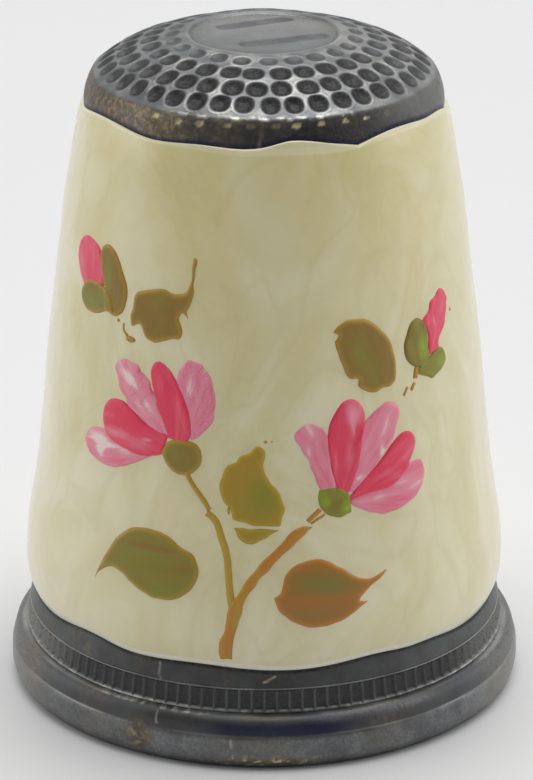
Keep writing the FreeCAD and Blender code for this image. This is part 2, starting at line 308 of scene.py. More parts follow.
def aged_silver():
    """Oxidised silver plate: dark in its pits, worn bright on its edges, stained in patches, with painted
    shade and painted highlights.

    The meshes carry pit (0 to 1, sunken and dirty, and painted shade in recesses, creases and under the
    sleeve), wear (0 to 1, rubbed bright, and painted highlights and paler lit sides), stain (0 to 1, brown
    tarnish), blue (0 to 1, dark bluish patina, and also a painted shadow line under the sleeve and the tint
    of a painted highlight on the foot) and gilt (0 to 1, pale yellow specks).
    """
    look = Look("aged_silver", Metallic=1.0)
    cloud = look.noise(0.9, 4.0, 0.6)
    grain = look.noise(9.0, 3.0, 0.65)
    speck = look.noise(4.5, 2.0, 0.5, 0.6)
    pit = look.trait("pit")
    plate = look.cover(srgb(108, 109, 109), (138, 141, 142), cloud, 0.3, 0.7)
    plate = look.cover(plate, (84, 83, 81), grain, 0.35, 0.65, 0.0, 0.45)
    # Darker in pits and in painted shade.
    plate = look.mix(pit, plate, look.cover(srgb(54, 53, 54), (76, 76, 77), grain, 0.3, 0.7))
    tarnish = look.cover(srgb(97, 88, 74), (142, 126, 103), speck, 0.38, 0.72)
    stain = look.sum("MULTIPLY", look.trait("stain"), look.between(cloud, 0.3, 0.6, 0.4, 1.0))
    plate = look.mix(stain, plate, tarnish)
    plate = look.mix(look.trait("blue"), plate, srgb(44, 45, 78))
    plate = look.mix(look.trait("gilt"), plate, srgb(200, 188, 148))
    # Paler where the metal is rubbed bright and where a highlight is painted.
    rubbed = look.sum("MULTIPLY", look.trait("wear"), look.between(grain, 0.3, 0.55, 0.35, 1.0))
    plate = look.mix(rubbed, plate, srgb(212, 212, 204))
    roughness = look.between(cloud, 0.2, 0.8, 0.36, 0.5)
    roughness = look.sum("ADD", roughness, look.sum("MULTIPLY", pit, 0.12))
    roughness = look.sum("SUBTRACT", roughness, look.sum("MULTIPLY", rubbed, 0.12))
    return look.done(plate, roughness, look.bump(speck, 0.02, 0.35, look.bump(grain, 0.012, 0.6)))


def cup_metal():
    """The drawn inside of the cup: fine rings from drawing, dull and a little tarnished."""
    look = Look("cup_metal", Metallic=1.0)
    rings = look.noise(1.0, 3.0, 0.6, 0.0, look.stretched(look.place, (300.0, 300.0, 9000.0)))
    cloud = look.noise(0.35, 4.0, 0.6)
    colour = look.cover(srgb(150, 146, 138), (186, 184, 178), cloud, 0.3, 0.7)
    colour = look.cover(colour, (120, 114, 104), rings, 0.3, 0.7, 0.0, 0.35)
    return look.done(colour, look.between(cloud, 0.3, 0.7, 0.3, 0.42), look.bump(rings, 0.01, 0.5))


def pearl_resin():
    """Pearly resin: soft clouds swirled through cream, yellower towards the top.

    The mesh carries lip_highlight (1 where the edge is thin, painted pale there as a highlight, and partly
    on the bevel under the top edge) and rise (0 at its base to 1 at its top).
    """
    look = Look("pearl_resin", Coat_Weight=1.0, Coat_Roughness=0.22, Coat_IOR=1.6,
                Subsurface_Weight=0.12, Subsurface_Scale=0.0012, Subsurface_Radius=(1.0, 0.9, 0.6))
    leaning = look.stretched(look.place, (1000.0, 1000.0, 620.0), turn=(0.0, -0.5, 0.0))
    swirl = look.noise(0.13, 3.0, 0.5, 2.4, leaning)
    cloud = look.noise(0.22, 3.0, 0.5, 2.2, leaning)
    vein = look.noise(0.20, 1.0, 0.4, 2.4, leaning)
    fine = look.noise(2.4, 4.0, 0.6, 1.2)
    off_vein = look.sum("ABSOLUTE", look.sum("SUBTRACT", vein, 0.5))
    rise = look.trait("rise")
    cream = look.cover(srgb(219, 209, 152), (229, 219, 172), swirl, 0.35, 0.66)
    cream = look.cover(cream, (238, 230, 198), cloud, 0.42, 0.72, 0.0, 0.6)
    cream = look.cover(cream, (211, 195, 134), cloud, 0.22, 0.44, 0.5, 0.0)
    cream = look.cover(cream, (206, 192, 132), off_vein, 0.0, 0.07, 0.22, 0.0)
    cream = look.cover(cream, (240, 234, 208), fine, 0.3, 0.7, 0.0, 0.12)
    cream = look.cover(cream, (234, 227, 200), rise, 0.0, 0.4, 0.2, 0.0)
    cream = look.cover(cream, (220, 207, 112), rise, 0.5, 1.0, 0.0, 0.22)
    # A painted highlight on the sleeve's thin edges.
    cream = look.mix(look.trait("lip_highlight"), cream, srgb(250, 246, 228))
    waves = look.bump(cloud, 0.05, 0.15)
    return look.done(cream, look.between(fine, 0.3, 0.7, 0.3, 0.4), look.bump(fine, 0.01, 0.2, waves))


def enamel(name, deep, pale, light, streaks=0.4, crackle=0.0, rim=None):
    """Brushed enamel that streaks along each stroke.

    The meshes carry brush (millimetres along and across the stroke, and a number per stroke),
    edge (0 at the outline, 1 inside) and tone (0 deep to 1 pale).
    """
    look = Look(name, Coat_Weight=0.15, Coat_Roughness=0.2, Specular_IOR_Level=0.35)
    brush = look.trait("brush", "Vector")
    hairs = look.noise(1.0, 3.0, 0.65, 0.6, look.stretched(brush, (0.9, 8.0, 1.0)))
    bands = look.noise(1.0, 2.0, 0.5, 0.8, look.stretched(brush, (0.45, 2.4, 1.0)))
    mottle = look.noise(3.2, 3.0, 0.6)
    share = look.sum("MULTIPLY", look.sum("SUBTRACT", bands, 0.5), streaks * 2)
    share = look.sum("ADD", share, look.sum("MULTIPLY", look.sum("SUBTRACT", hairs, 0.5), streaks * 1.4))
    share = look.sum("ADD", share, look.trait("tone"))
    colour = look.cover(srgb(*deep), pale, share, 0.0, 1.0)
    colour = look.cover(colour, light, share, 0.95, 1.5)
    if rim:
        colour = look.cover(colour, rim, look.trait("edge"), 0.05, 0.6, 0.8, 0.0)
    if crackle:
        lines = look.between(look.cracks(2.2, look.warped(1.6, 0.7)), 0.0, 0.04, crackle, 0.0)
        broken = look.sum("MULTIPLY", lines, look.between(mottle, 0.4, 0.6))
        colour = look.mix(broken, colour, srgb(132, 74, 92))
    return look.done(colour, look.between(mottle, 0.3, 0.7, 0.32, 0.48), look.bump(hairs, 0.03, 0.35))


SILVER = aged_silver()
CUP = cup_metal()
PEARL = pearl_resin()
ROSE = enamel("rose_enamel", (236, 62, 92), (244, 152, 168), (248, 222, 210), 0.36)
PINK_TONES = ((236, 102, 128), (240, 150, 168), (248, 220, 214))
PINK = enamel("pink_enamel", *PINK_TONES, 0.7)
CRAZED = enamel("crazed_pink_enamel", *PINK_TONES, 0.7, 0.4)
OLIVE = enamel("olive_enamel", (147, 112, 44), (139, 131, 49), (125, 147, 53), rim=(184, 146, 50))
GOLD = enamel("golden_enamel", (172, 140, 36), (146, 140, 36), (118, 146, 40), 0.5, rim=(184, 154, 40))
AUTUMN = enamel("autumn_enamel", (171, 114, 48), (144, 120, 52), (130, 128, 56), rim=(194, 130, 46))
LIME = enamel("lime_enamel", (138, 122, 42), (142, 158, 36), (154, 208, 52))
OCHRE = enamel("ochre_enamel", (194, 126, 48), (182, 154, 52), (192, 168, 76), 0.6)


# ---- sleeve

# Outline of the sleeve as (share of its height, share of its largest radius).
SLEEVE_LINE = [(0, 0.9718), (0.0149, 0.9867), (0.0398, 0.9972), (0.0796, 0.9988), (0.1294, 0.9907),
               (0.204, 0.9640), (0.3035, 0.9353), (0.403, 0.9142), (0.5025, 0.8945), (0.602, 0.8683),
               (0.7015, 0.8426), (0.801, 0.8172), (0.9154, 0.7767), (0.9502, 0.7639), (1, 0.7373)]
SLEEVE_INSIDE = [(1, 6.45), (0.5, 7.75), (0, 8.75)]     # (share of its height, radius) of its hidden inside

# The sleeve's hand-finished edges, as (angle, rise above the CAD edge). The top edge has one sharp
# cusp, at 30 degrees, where its two runs meet.
TOP_EDGE_LEFT = [(-180, 0.04), (-145, -0.08), (-115, -0.1), (-92, -0.38), (-78, -0.18), (-60, 0.09),
                 (-50, 0.04), (-37, -0.11), (-20, 0), (0, 0), (8, 0.22), (12, 0.21), (20, 0.06),
                 (30, -0.19)]
TOP_EDGE_RIGHT = [(30, -0.19), (38, 0.03), (45, 0.12), (60, 0.04), (76, -0.14), (92, -0.62),
                  (115, -0.1), (150, -0.07), (180, 0.04)]
BOTTOM_EDGE = [(-180, 0), (-150, 0.07), (-120, -0.06), (-90, 0.04), (-62, -0.02), (-55, 0.08),
               (-48, 0.18), (-42, 0.14), (-37, 0.03), (-30, -0.02), (-15, 0.05), (-2, -0.07),
               (5, -0.1), (12, -0.07), (19, 0.03), (29, 0.13), (37, 0.06), (44, 0.06), (51, -0.03),
               (60, -0.1), (90, 0.05), (125, -0.05), (155, 0.06), (180, 0)]

# Lower border of the pale bevel under the sleeve's top edge, as (angle, rise above the CAD edge).
BEVEL_EDGE = [(-180, -0.2), (-110, -0.2), (-92, -0.6), (-78, -0.3), (-60, -0.03), (-50, -0.07),
              (-37, -0.18), (-23, -0.2), (-8, -0.29), (10, -0.27), (30, -0.27), (38, -0.14), (45, -0.06),
              (60, -0.14), (76, -0.3), (92, -0.85), (110, -0.3), (180, -0.2)]
BEVEL_LEAN = 0.12           # how much the bevel leans inwards, per millimetre of rise
LIP = 0.07                  # rounding of the sleeve's upper and lower edge
EDGE_REACH = 0.8            # how far up the sleeve its wavy lower edge shifts the profile
SLEEVE_LUMP = Ripple(9.0)

profile = spline(SLEEVE_LINE, 400)


def edge_rise(edge, angle):
    """Rise of a wavy edge at an angle in radians."""
    curve = spline(edge, 20 * len(edge))
    return np.interp(np.degrees(angle), curve[:, 0], curve[:, 1])


def sleeve_top(angle):
    left = np.degrees(angle) < TOP_EDGE_RIGHT[0][0]
    return SLEEVE_TOP + np.where(left, edge_rise(TOP_EDGE_LEFT, angle), edge_rise(TOP_EDGE_RIGHT, angle))


def sleeve_bottom(angle):
    return SLEEVE_BASE + edge_rise(BOTTOM_EDGE, angle)


def sleeve_radius(angle, height):
    """Outside radius of the sleeve, without the rounding of its edges."""
    drop = sleeve_bottom(angle) - SLEEVE_BASE
    height_share = height - SLEEVE_BASE - drop * np.exp(-(height - SLEEVE_BASE - drop) / EDGE_REACH)
    share = np.interp(height_share / (SLEEVE_TOP - SLEEVE_BASE), profile[:, 0], profile[:, 1])
    radius = SLEEVE_RADIUS * share
    return radius + 0.02 * (SLEEVE_LUMP(on_axis(angle, radius, height)) - 1)


def make_sleeve():
    angle = around(SLEEVE_COLUMNS)
    top = sleeve_top(angle)
    bottom = sleeve_bottom(angle)
    share = np.concatenate([np.linspace(0, 0.02, 14), np.linspace(0.026, 0.96, 112),
                            np.linspace(0.9625, 1, 26)])[:, None]
    height = bottom + (top - bottom) * share
    radius = sleeve_radius(angle, height)
    bevel = height - SLEEVE_TOP - edge_rise(BEVEL_EDGE, angle)
    for from_edge in (height - bottom, top - height):
        radius -= LIP - np.sqrt(LIP ** 2 - np.clip(LIP - from_edge, 0, LIP) ** 2)
    radius -= BEVEL_LEAN * np.maximum(bevel, 0)
    # Pale along the lower edge and on the top bevel: a painted highlight on the sleeve's thin edges.
    lip_highlight = ease(0.32, 0.18, height - bottom) + 0.25 * ease(-0.05, 0.05, bevel)
    inner_share, inner_radius = np.array(SLEEVE_INSIDE).T[..., None]
    radius = np.concatenate([radius, inner_radius + 0 * angle])
    height = np.concatenate([height, bottom + (top - bottom) * inner_share])
    lip_highlight = np.concatenate([lip_highlight, np.ones((len(inner_share), len(angle)))])
    rise = (height - SLEEVE_BASE) / (SLEEVE_TOP - SLEEVE_BASE)
    traits = {"lip_highlight": np.clip(lip_highlight, 0, 1), "rise": np.clip(rise, 0, 1)}
    finished(lathe("sleeve", radius, height, PEARL, traits), "pearl_sleeve")


make_sleeve()


# ---- crown

# Profile of the crown, as (radius, rise above its lower edge in the CAD). It reaches down behind
# the sleeve, and its inside is hidden.
CROWN_INSIDE = [(0, 1.75), (3, 1.64), (4.5, 1.38), (5.6, 0.96), (6.2, 0.40), (6.5, -1.1)]
SKIRT_LINE = [(6.72, -1.1), (6.93, 0), (6.84, 0.4), (6.68, 0.8), (6.6, 0.93)]
DOME_LINE = [(6.555, 0.97), (6.295, 1.17), (5.885, 1.46), (5.41, 1.69), (4.455, 2.04), (3.48, 2.29),
             (3.065, 2.385)]
PAD_RIM = [(3.015, 2.395), (2.95, 2.4), (2.9, 2.385), (2.85, 2.34), (2.8, 2.3)]
PAD_RADIUS = 2.74
PAD_HEIGHT = 2.30
PAD_STEPS = 30
SKIRT_END = (0.90, 1.02)    # rise over which the looks change from skirt to dome
TOP_RISE = 2.0              # everything of the pad and its rim is above this rise
PAD_BARS = [((-1.5, 1.1), (0.8, 2.1)), ((-0.6, -1.3), (2.1, -0.2))]    # ends, seen from above
PAD_BAR_WIDTH = 0.75
PAD_BAR_DEPTH = 0.04

# Rows of needle dimples: row radius, how many, width, height along the dome, depth, and the angle
# of the first one.
DIMPLE_ROWS = [(3.54, 23, 0.78, 0.66, 0.07, 2.3), (4.365, 29, 0.88, 0.88, 0.13, 7.8),
               (5.26, 35, 0.90, 0.98, 0.15, -2.9), (6.05, 41, 0.84, 0.92, 0.14, 1.9)]
SQUARENESS = 2.3            # 2 makes the dimples oval, more makes them squarer
NICKS = 46                  # faint touches of the tool along the skirt
NICK_RADIUS = 6.72
NICK_RISE = 0.72
FIRST_NICK = 0.4            # how far round from the front, as a share of the spacing
CROWN_DRIP = ((-0.6, 24.68), (-1.7, 23.95))     # a dried brown run, as (angle, height) of both ends


def press(base, marks):
    """Tool marks pressed into the crown: their depth, and how far each point is inside or on a rim.

    A mark is (centre, across, along, half width, half height, depth).
    """
    pressed, inside, rim = np.zeros((3, *base.shape[:-1]))
    for centre, across, along, half_width, half_height, deep in marks:
        offset = base - centre
        distance = (abs(offset @ across / half_width) ** SQUARENESS
                    + abs(offset @ along / half_height) ** SQUARENESS) ** (1 / SQUARENESS)
        distance += 4.0 * (norm(offset, axis=-1) > 1.2)
        pressed = np.maximum(pressed, deep * (1 - ease(0.30, 1.04, distance)))
        inside = np.maximum(inside, 1 - ease(0.84, 1.04, distance))
        rim = np.maximum(rim, bell(distance, 1.08, 0.10))
    return pressed, inside, rim


def dimple_marks():
    """The needle dimples, row by row, none quite like the next."""
    dome = spline(DOME_LINE, 200)
    for row_radius, count, width, tall, depth, first in DIMPLE_ROWS:
        at = np.argmin(abs(dome[:, 0] - row_radius))
        climb = dome[at - 1] - dome[at + 1]
        climb = climb / norm(climb)
        for step in range(count):
            turn = math.radians(first) + 2 * math.pi * (step + rng.uniform(-0.05, 0.05)) / count
            place = dome[at + rng.integers(-1, 2)]
            yield (on_axis(turn, place[0], CROWN_BASE + place[1]),
                   np.array([math.cos(turn), math.sin(turn), 0.0]), on_axis(turn, climb[0], climb[1]),
                   width / 2 * rng.uniform(0.94, 1.05), tall / 2 * rng.uniform(0.94, 1.05),
                   depth * rng.uniform(0.85, 1.1))


def nick_marks():
    """Faint touches of the dimpling tool, where it ran off the dome on to the skirt."""
    for step in range(NICKS):
        turn = 2 * math.pi * (step + FIRST_NICK + rng.uniform(-0.12, 0.12)) / NICKS
        yield (on_axis(turn, NICK_RADIUS, CROWN_BASE + NICK_RISE + rng.uniform(-0.04, 0.04)),
               np.array([math.cos(turn), math.sin(turn), 0.0]), np.array([0.0, 0.0, 1.0]),
               rng.uniform(0.12, 0.20), rng.uniform(0.06, 0.11), rng.uniform(0.005, 0.05))


def marked(angle, height, marks, half_width):
    """How far points lie on any of some straight marks. Widths are measured at the foot's radius."""
    arc = np.degrees(1) / FOOT_RADIUS
    ends = [[(turn / arc, rise) for turn, rise in mark] for mark in marks]
    return sum(near(np.degrees(angle) / arc, height, *mark, half_width) for mark in ends)


def lit_sides(angle):
    """1 at the thimble's two sides and 0 at the front: painted light, for the sides that catch more light
    than the front.
    """
    return ease(0.72, 1.0, np.abs(np.sin(angle)))


def make_crown():
    pad_radius = np.linspace(PAD_RADIUS, 0, PAD_STEPS)
    pad_rows = np.column_stack([pad_radius, np.full(PAD_STEPS, PAD_HEIGHT)])
    rows = np.concatenate([CROWN_INSIDE, spline(SKIRT_LINE, 26), spline(DOME_LINE, 88), PAD_RIM, pad_rows])
    angle, radius, height, points = turned(rows + (0, CROWN_BASE), CROWN_COLUMNS)
    slope = np.gradient(rows, axis=0)
    slope /= norm(slope, axis=1)[:, None] + 1e-9
    outward = on_axis(angle, slope[:, 1:], -slope[:, :1])
    shown = np.ones(len(rows))[:, None]
    shown[:len(CROWN_INSIDE)] = 0

    dented, pit, rim = press(points, dimple_marks())
    nicked, nick, _ = press(points, nick_marks())
    bars = sum(near(points[..., 0], points[..., 1], *ends, PAD_BAR_WIDTH / 2) for ends in PAD_BARS)
    lump = Ripple(2.5)(points) * 0.012 + Ripple(0.7)(points) * 0.003 + 0.010 * rim
    bars[-1] = bars[-1].mean()
    lump[-1] = 0
    points = points - outward * (shown * (dented + nicked + PAD_BAR_DEPTH * bars - lump))[..., None]
    radius = np.hypot(points[..., 0], points[..., 1])
    radius[0] = 0
    radius[-1] = 0
    height = np.minimum(points[..., 2], CROWN_TOP)
    height[-1] = height[-1].mean()

    rise = height - CROWN_BASE
    top = rise > TOP_RISE
    pad = (radius < PAD_RADIUS + 0.1) & top
    skirt = 1 - ease(*SKIRT_END, rise)
    land = (1 - pit) * (1 - skirt) * (1 - pad)
    # Darker and bluer just under the sleeve's top edge: a painted shadow line where the sleeve overhangs
    # the metal.
    low = ease(0.22, 0, height - sleeve_top(angle))
    forward = np.cos(angle)
    # Wear on the land and dimple rims grows towards the front, where it is partly a painted highlight.
    front = 0.45 + 0.55 * forward
    patch = ease(-0.5, 0.9, Ripple(0.8)(points))
    crust = ease(0, 0.5, Ripple(0.35)(points)) * ease(0.8, 0.94, forward)
    wear = land * (0.08 + 0.24 * patch * front) + 0.2 * rim * land * patch * front
    # The right side of the crown is made paler: painted light.
    wear += 0.2 * lit_sides(angle) * (land + 0.5 * skirt) * (angle > 0)
    # Bright dashes along the top of the skirt at the front, and a painted highlight on the front of the
    # pad's rim.
    wear += 0.7 * bell(rise, 0.96, 0.06) * crust + 0.35 * front * bell(radius, 2.96, 0.05) * top
    # The pad is worn a little, and lighter towards the back: painted light.
    wear += pad * (1 - bars) * (0.12 + 0.22 * ease(-1.8, 2.5, points[..., 1]))
    # Darker towards the pad's edge, in the groove inside its rim and along the edges of its bars: painted
    # shade in these recesses. The patchy part inside the bars is grime.
    recess_grime_and_shade = 0.35 * pad * ease(0.7, 1, radius / PAD_RADIUS) + 0.5 * bell(radius, 2.78, 0.05) * top
    recess_grime_and_shade += 0.25 * bars * patch + 1.6 * bars * (1 - bars)
    # The dimples are dark with grime and painted shade, more so at the front. The skirt gets painted shade
    # centred a little right of the front.
    dirt_and_shade = pit * (0.7 + 0.3 * ease(0.3, 0.8, forward)) * (1 - 0.4 * ease(2.1, 2.2, rise))
    dirt_and_shade += skirt * (0.24 + 0.72 * bell(np.degrees(angle), 22, 34)) + low + recess_grime_and_shade
    drip = marked(angle, height, [CROWN_DRIP], 0.1)
    specks = 0.95 * nick * (0.3 + 0.7 * patch) * ease(0.66, 0.85, forward)
    plated("crown", "crown_cap", radius, height, pit=dirt_and_shade - 0.7 * drip, wear=wear,
           stain=0.9 * skirt * (0.12 + ease(0.25, -0.75, np.sin(angle))) + 0.8 * drip,
           blue=0.18 * land + 0.14 * pad + 0.85 * low, gilt=specks + 0.15 * drip)


make_crown()


# ---- foot, milled band, collar

FOOT_LINE = [(9.74, 0), (9.91, 0.09), (10.04, 0.24), (10.14, 0.42), (10.19, 0.66), (10.19, 1.05),
             (10.165, 1.34), (10.135, 1.42)]
SHOULDER_LINE = [(10.105, 1.445), (10.08, 1.6), (10.01, 1.86), (9.91, 2.03), (9.765, 2.13), (9.61, 2.17)]
FLUTES = 122
FLUTE_STEPS = 10            # points across each flute
FLUTE_DEPTH = 0.10
BEAD = 0.025                # height of the rounded ridge along the top of the flutes
BAND_INSIDE = (8.78, 8.90)  # radius of the band's hidden inside, at its top and at its base
COLLAR_INSIDE = (8.70, 8.78)

# Marks on the foot and collar, as (angle, height) of both ends.
PALE_SCRATCHES = [((-25.6, 3.8), (-24.2, 1.6)), ((-7.2, 1.4), (-6.6, 0.3))]
SCRATCH_WIDTH = 0.045
ORANGE_BAR = ((0.2, 3.38), (2.3, 3.58))
BAR_WIDTH = 0.05


def make_foot():
    rows = np.concatenate([spline(FOOT_LINE, 44), spline(SHOULDER_LINE, 26),
                           [(CUP_MOUTH_RADIUS, FOOT_TOP), (CUP_MOUTH_RADIUS, FOOT_BASE)]])
    angle, radius, height, points = turned(rows, FOOT_COLUMNS)
    swell = Ripple(4.0)(points)
    dents = 0.012 * swell + 0.004 * Ripple(0.9)(points) - 0.01
    dents[-2:] = 0
    dents[:2] *= 0.2
    radius = np.minimum(radius + dents, FOOT_RADIUS)
    degrees = np.degrees(angle)
    seam = bell(height, 1.435, 0.03)
    shoulder = ease(1.42, 1.5, height) * ease(2.2, 2.1, height)
    edge = bell(height, 2.15, 0.035)
    navy = ease(-17, -7, degrees) * ease(24, 13, degrees) * shoulder * ease(2.02, 1.78, height)
    # A lighter bluish band on the shoulder, right of the front: a painted highlight.
    steel_blue_highlight = 0.4 * ease(-13, -3, degrees) + 0.6 * ease(9, 17, degrees)
    steel_blue_highlight = steel_blue_highlight * ease(44, 35, degrees) * bell(height, 1.97, 0.13)
    left_front = ease(-42, -38, degrees) * ease(-11, -15, degrees)
    brown = bell(degrees, -28.4, 2.4) * bell(height, 0.95, 0.55)
    brown += 0.5 * bell(degrees, 2, 12) * bell(height, 0.4, 0.18)
    broken = ease(-0.4, 0.4, Ripple(0.4)(points))
    low_front = bell(degrees, 0, 11) * bell(height, 0.36, 0.2)
    specks = ease(0.55, 0.95, Ripple(0.35)(points)) * (low_front + 0.4 * brown)
    wear = (0.25 * edge + 0.2 * seam) * ease(-0.2, 0.7, Ripple(3.5)(points))
    wear += broken * (0.7 * left_front * edge + 0.4 * marked(angle, height, PALE_SCRATCHES, SCRATCH_WIDTH))
    # The bluish band and the sides are made paler as painted light. The seam, the bottom edge and the
    # shoulder are darker.
    plated("foot", "foot_ring", radius, height, gilt=specks,
           pit=0.35 * seam + 0.25 * ease(0.25, 0, height) + 0.65 * shoulder,
           wear=wear + 0.2 * steel_blue_highlight + 0.2 * lit_sides(angle),
           stain=1.5 * brown + 0.35 * ease(0, 0.8, swell) * (1 - steel_blue_highlight),
           blue=0.72 * navy + 0.4 * steel_blue_highlight + 0.12 * ease(0, 0.8, -swell))


def make_band():
    angle = around(FLUTES * FLUTE_STEPS)
    tall = BAND_TOP - BAND_BASE
    share = np.array([0, 0.03, 0.06, 0.09, 0.13, 0.18, 0.30, 0.45, 0.60, 0.72, 0.79, 0.83, 0.87, 0.90,
                      0.93, 0.96])[:, None]
    rise = share / share[-1] * tall
    outer = BAND_RADIUS - (BAND_RADIUS - COLLAR_RADIUS - 0.02) * rise / tall
    phase = (np.arange(len(angle)) % FLUTE_STEPS) / FLUTE_STEPS
    sunk = ease(0.04, 0.18, phase) * ease(0.99, 0.88, phase)
    window = ease(0.05, 0.12, rise) * ease(tall - 0.05, tall - 0.14, rise)
    bead = BEAD * bell(rise, tall - 0.03, 0.03)
    height = BAND_BASE + rise + 0 * angle
    points = on_axis(angle, outer, height)
    radius = outer - FLUTE_DEPTH * window * sunk + bead + 0.006 * Ripple(1.5)(points)
    rib = window * (1 - sunk)
    left_front = np.exp(-((np.degrees(angle) + 27) / 15) ** 4)
    specks = ease(0.2, 0.7, Ripple(0.5)(points))
    # The sides are made paler as painted light.
    wear = bell(rise, 0.04, 0.035) * (0.4 * specks + 0.5 * left_front) + 0.34 * lit_sides(angle)
    wear += 0.03 * rib * specks + 3 * bead * (0.7 + 0.3 * specks)
    pit = 0.85 * window * sunk + 0.4 * rib
    hidden = np.zeros((2, len(angle)))
    radius = np.concatenate([radius, np.array(BAND_INSIDE)[:, None] + hidden])
    height = np.concatenate([height, np.array([BAND_TOP, BAND_BASE])[:, None] + hidden])
    plated("milled_strip", "milled_band", radius, height, pit=np.concatenate([pit, hidden]),
           wear=np.concatenate([wear, hidden]))


def make_collar():
    outer = spline([(9.4, COLLAR_BASE), (9.34, 3.4), (9.27, 3.7), (9.22, COLLAR_TOP), (9.11, 4.12),
                    (8.98, 4.2)], 30)
    inner = [(COLLAR_INSIDE[0], outer[-1, 1]), (COLLAR_INSIDE[1], COLLAR_BASE)]
    angle, radius, height, points = turned(np.concatenate([outer, inner]), COLLAR_COLUMNS)
    swell = Ripple(2.0)(points)
    radius[:-2] += 0.008 * swell[:-2]
    shade = ease(0.16, 0, sleeve_bottom(angle) - height)
    bar = marked(angle, height, [ORANGE_BAR], BAR_WIDTH)
    ends = marked(angle, height, [(end, np.add(end, 0.01)) for end in ORANGE_BAR], BAR_WIDTH)
    # Darker towards the front and just under the sleeve's lower edge: painted shade.
    plated("collar", "collar_ring", radius, height, pit=0.36 + 0.3 * np.cos(angle) + 0.75 * shade,
           wear=0.35 * marked(angle, height, PALE_SCRATCHES, SCRATCH_WIDTH),
           stain=bar + 0.25 * ease(0, 0.8, swell), gilt=0.4 * bar + ends)


make_foot()
make_band()
make_collar()

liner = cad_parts["liner_cup"]
for slot in liner.material_slots:
    slot.material = CUP


# ---- painted flowers

# Each brush stroke is laid out on a flat strip, as points (s, z): s is measured round the sleeve
# from the front, z is the height.

FILM = 0.055                # thickness of a stroke
FILM_EDGE = 0.13            # width of its rounded edge
FILM_KEY = 0.03             # how far a stroke reaches into the sleeve
FILM_GAP = 0.003            # least height above the sleeve, at a stroke's outline
PAINT_STEP = 0.07           # spacing of the points of a stroke
EDGE_BAND = 0.42            # width over which a stroke's colour changes at its edge
STROKE_SHIFT = 3.7          # how far apart two strokes lie in the pattern of the brush
SHAKE = (Ripple(0.6), Ripple(0.6))
HAIRS = Ripple(0.5)
LEVEL = Ripple(1.1)
laid = []                   # the strokes painted so far, lowest first


def flat(points):
    """Points of the strip with a third coordinate, for noise."""
    return np.column_stack([points, np.zeros(len(points))])


class Stroke:
    """One brush stroke of enamel.

    Its outline is one or more smooth runs of points that meet in corners. Each later run starts
    where the one before ends, and a straight line closes an outline that doesn't return to its
    start. The hairs of the brush fan out from its root. Each touch is (s, z, half width, half
    height, change of tone).
    """

    def __init__(self, runs, root, tone=0.3, touches=(), ragged=0.012):
        pieces = []
        end = runs[0][0]
        for run in [runs[0][1:], *runs[1:], runs[0][:1]]:
            if run == [end]:
                continue
            run = [end, *run]
            end = run[-1]
            length = norm(np.diff(np.array(run), axis=0), axis=1).sum()
            pieces.append(spline(run, max(3, round(length / PAINT_STEP) + 1))[:-1])
        line = np.concatenate(pieces)
        line = line + ragged * np.column_stack([shake(flat(line)) for shake in SHAKE])
        following = np.roll(line, -1, axis=0)
        if (line[:, 0] * following[:, 1] - following[:, 0] * line[:, 1]).sum() < 0:
            line = line[::-1]
        self.line = line
        self.root = np.array(root)
        self.tone = tone
        self.touches = touches
        self.number = len(laid)

    def depth(self, points):
        """How far points lie inside the outline. Outside it, this is negative."""
        end = np.roll(self.line, -1, axis=0)
        run = end - self.line
        offset = points[:, None] - self.line
        along = np.clip((offset * run).sum(-1) / (run ** 2).sum(-1), 0, 1)
        gap = norm(offset - along[..., None] * run, axis=-1).min(1)
        level = points[:, None, 1]
        crossed = (self.line[:, 1] > level) != (end[:, 1] > level)
        rise = np.where(run[:, 1] == 0, 1, run[:, 1])
        right_of_it = points[:, None, 0] < self.line[:, 0] + offset[..., 1] * run[:, 0] / rise
        return np.where((crossed & right_of_it).sum(1) % 2 == 1, gap, -gap)

    def height(self, points, depth=None):
        """Thickness of the paint at points of the strip."""
        share = np.clip((self.depth(points) if depth is None else depth) / FILM_EDGE, 0, 1)
        return FILM * np.sqrt(1 - (1 - share) ** 2) * (1 + 0.2 * LEVEL(flat(points)))

    def brush(self, points):
        """Distance along and across the stroke, with a number of its own."""
        offset = points - self.root
        middle = self.line.mean(0) - self.root
        turn = np.arctan2(middle[0] * offset[:, 1] - middle[1] * offset[:, 0], offset @ middle)
        return np.column_stack([norm(offset, axis=1), turn * norm(middle),
                                np.full(len(points), STROKE_SHIFT * self.number)])

    def shade(self, points):
        tone = np.full(len(points), float(self.tone))
        for s, z, half_width, half_height, change in self.touches:
            tone += change * bell(points[:, 0], s, half_width) * bell(points[:, 1], z, half_height)
        return tone

    def mesh(self):
        """Points on the strip, their heights, and triangles."""
        low = self.line.min(0)
        count = np.ceil((self.line.max(0) - low) / PAINT_STEP).astype(int) + 1
        across, up = np.meshgrid(np.arange(count[0]), np.arange(count[1]))
        grid = low + PAINT_STEP * np.column_stack([(across + 0.5 * (up % 2)).ravel(), up.ravel()])
        grid = grid[self.depth(grid) > 0.6 * PAINT_STEP]
        points = np.concatenate([self.line, grid])
        loop = list(range(len(self.line)))
        result = delaunay_2d_cdt([Vector(point) for point in points.tolist()], [], [loop], 1, 1e-6)
        points = np.array([tuple(point) for point in result[0]])
        depth = self.depth(points)
        own = self.height(points, depth)
        brush = self.brush(points)
        own += 0.006 * HAIRS(brush * (0.15, 1.0, 1.0)) * ease(0.0, FILM_EDGE, depth)
        under = sum((stroke.height(points) for stroke in laid), np.zeros(len(points)))
        return points, FILM_GAP + np.maximum(own, 0) + under, depth, brush, [list(f) for f in result[2]]


